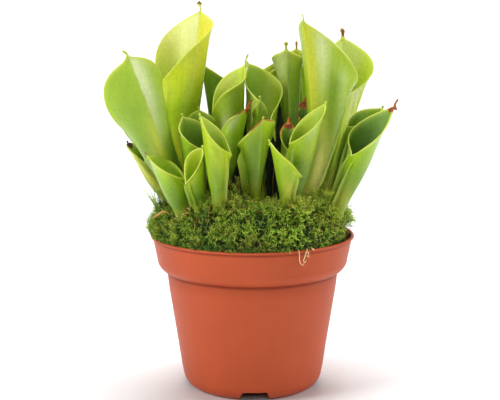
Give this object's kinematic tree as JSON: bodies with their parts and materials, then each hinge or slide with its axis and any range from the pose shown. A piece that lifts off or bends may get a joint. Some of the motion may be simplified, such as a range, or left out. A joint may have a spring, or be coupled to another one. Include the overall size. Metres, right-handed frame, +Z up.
{
  "type": "potted pitcher plant",
  "caption": "Clump of upright green pitcher leaves with flared oblique mouths, growing through a moss cushion in a round terracotta-coloured plastic pot.",
  "frame": {"origin": "middle of the pot's foot, on the ground", "axes": "+Z up; the plant's front, as pictured, faces -Y; +X is the viewer's right"},
  "size_m": [0.1683, 0.12, 0.228],
  "materials": {
    "terracotta_plastic": "satin",
    "potting_mix": "matte",
    "moss_green": "matte",
    "rhizome_brown": "matte",
    "leaf_green": "semi-gloss",
    "leaf_yellow_green": "semi-gloss",
    "leaf_deep_green": "semi-gloss"
  },
  "bodies": {
    "root": {"pot": "terracotta_plastic", "soil": "potting_mix", "moss": "moss_green", "rhizome_front_left": "rhizome_brown", "rhizome_left": "rhizome_brown", "rhizome_middle": "rhizome_brown", "rhizome_right": "rhizome_brown", "rhizome_far_right": "rhizome_brown", "rhizome_rear_right": "rhizome_brown", "rhizome_rear_left": "rhizome_brown", "pitcher_01": "leaf_green", "pitcher_02": "leaf_yellow_green", "pitcher_03": "leaf_deep_green", "pitcher_04": "leaf_green", "pitcher_05": "leaf_green", "pitcher_06": "leaf_deep_green", "pitcher_07": "leaf_green", "pitcher_08": "leaf_green", "pitcher_09": "leaf_yellow_green", "pitcher_10": "leaf_green", "pitcher_11": "leaf_deep_green", "pitcher_12": "leaf_green", "pitcher_13": "leaf_green", "pitcher_14": "leaf_green", "pitcher_15": "leaf_yellow_green", "pitcher_16": "leaf_green", "pitcher_17": "leaf_deep_green", "pitcher_18": "leaf_green", "pitcher_19": "leaf_deep_green", "pitcher_20": "leaf_green", "pitcher_21": "leaf_green", "pitcher_22": "leaf_deep_green", "pitcher_23": "leaf_deep_green", "pitcher_24": "leaf_deep_green", "pitcher_25": "leaf_green", "pitcher_26": "leaf_green", "pitcher_27": "leaf_deep_green", "pitcher_28": "leaf_green", "pitcher_29": "leaf_green", "pitcher_30": "leaf_green"}
  },
  "joints": []
}
